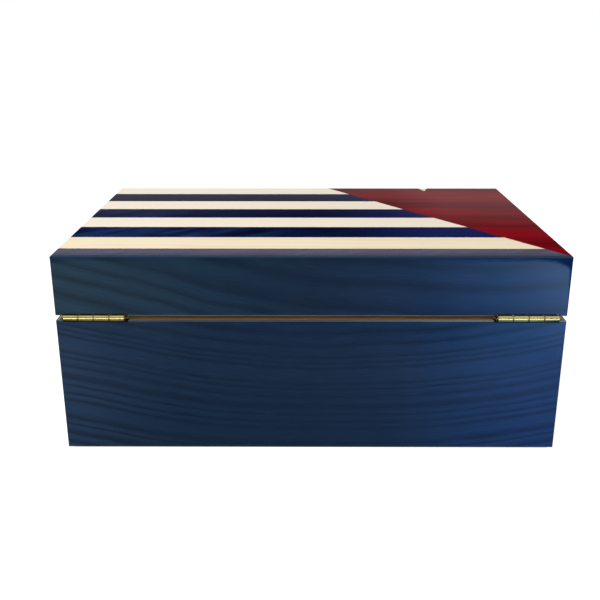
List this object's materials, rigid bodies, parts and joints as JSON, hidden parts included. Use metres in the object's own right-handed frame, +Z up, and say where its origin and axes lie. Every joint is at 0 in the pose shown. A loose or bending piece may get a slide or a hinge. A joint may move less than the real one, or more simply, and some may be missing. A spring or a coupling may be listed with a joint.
{
  "type": "hinged presentation humidor",
  "caption": "Lacquered hinged box with a striped flag-style lid, brass quadrant hinges, cedar lining with a sealing lip, lift-out tray, hygrometer and humidifier.",
  "frame": {"origin": "centre of the felt underside, on the surface that the case stands on", "axes": "+X to the right seen from the front, front faces -Y, +Z up through the lid"},
  "size_m": [0.4, 0.2687, 0.1645],
  "materials": {
    "walnut": "plain stained hardwood, satin",
    "felt": "dark wool felt",
    "blue_veneer": "blue dyed figured veneer under clear high-gloss lacquer",
    "cream_veneer": "pale bleached veneer under clear high-gloss lacquer",
    "navy_veneer": "navy dyed veneer under clear high-gloss lacquer",
    "red_veneer": "red dyed veneer under clear high-gloss lacquer",
    "cedar": "bare planed cedar, unfinished",
    "brass": "polished brass",
    "dial_case": "pressed steel case",
    "dial_face": "printed white card dial",
    "dial_needle": "black painted pointer",
    "dial_lens": "flat clear glass",
    "steel_plate": "rolled steel plate",
    "humidifier_plastic": "moulded black ABS",
    "foam": "open-cell water-holding foam"
  },
  "bodies": {
    "base": {"base_front_wall": "walnut", "base_back_wall": "walnut", "base_left_wall": "walnut", "base_right_wall": "walnut", "base_bottom_panel": "walnut", "base_felt_pad": "felt", "base_back_veneer": "blue_veneer", "base_left_veneer": "blue_veneer", "base_right_veneer": "blue_veneer", "base_cream_bands": "cream_veneer", "base_navy_bands": "navy_veneer", "base_red_field": "red_veneer", "base_star": "cream_veneer", "base_front_lining": "cedar", "base_back_lining": "cedar", "base_left_lining": "cedar", "base_right_lining": "cedar", "base_floor_lining": "cedar", "left_lower_leaf": "brass", "right_lower_leaf": "brass", "left_hinge_pin": "brass", "right_hinge_pin": "brass", "lower_leaf_screws": "brass", "tray_ledges": "cedar"},
    "lid": {"lid_front_wall": "walnut", "lid_back_wall": "walnut", "lid_left_wall": "walnut", "lid_right_wall": "walnut", "lid_top_panel": "walnut", "lid_back_veneer": "blue_veneer", "lid_left_veneer": "blue_veneer", "lid_right_veneer": "blue_veneer", "lid_cream_bands": "cream_veneer", "lid_navy_bands": "navy_veneer", "lid_red_fields": "red_veneer", "lid_star": "cream_veneer", "lid_front_lining": "cedar", "lid_back_lining": "cedar", "lid_left_lining": "cedar", "lid_right_lining": "cedar", "lid_ceiling_lining": "cedar", "left_upper_leaf": "brass", "right_upper_leaf": "brass", "upper_leaf_screws": "brass", "hygrometer_case": "dial_case", "hygrometer_bezel": "brass", "hygrometer_dial": "dial_face", "hygrometer_needle": "dial_needle", "hygrometer_lens": "dial_lens", "humidifier_plate": "steel_plate", "humidifier_case": "humidifier_plastic", "humidifier_foam": "foam"},
    "tray": {"tray_front": "cedar", "tray_back": "cedar", "tray_left_end": "cedar", "tray_right_end": "cedar", "tray_slats": "cedar", "tray_divider": "cedar"},
    "left_stay": {"left_stay": "brass"},
    "right_stay": {"right_stay": "brass"}
  },
  "joints": [
    {"name": "lid_hinge", "type": "hinge", "parent": "base", "child": "lid", "pos_m": [0, 0.133, 0.1145], "axis": [-1, 0, 0], "range_deg": [0, 95]},
    {"name": "left_stay_turn", "type": "hinge", "parent": "base", "child": "left_stay", "pos_m": [0, 0.133, 0.1145], "axis": [-1, 0, 0], "range_deg": [0, 47.5]},
    {"name": "right_stay_turn", "type": "hinge", "parent": "base", "child": "right_stay", "pos_m": [0, 0.133, 0.1145], "axis": [-1, 0, 0], "range_deg": [0, 47.5]},
    {"name": "tray_lift", "type": "slide", "parent": "base", "child": "tray", "axis": [0, 0, 1], "range_m": [0, 0.02]}
  ],
  "couplings": [
    {"joint": "left_stay_turn", "follows": "lid_hinge", "ratio": 0.5},
    {"joint": "right_stay_turn", "follows": "lid_hinge", "ratio": 0.5}
  ]
}
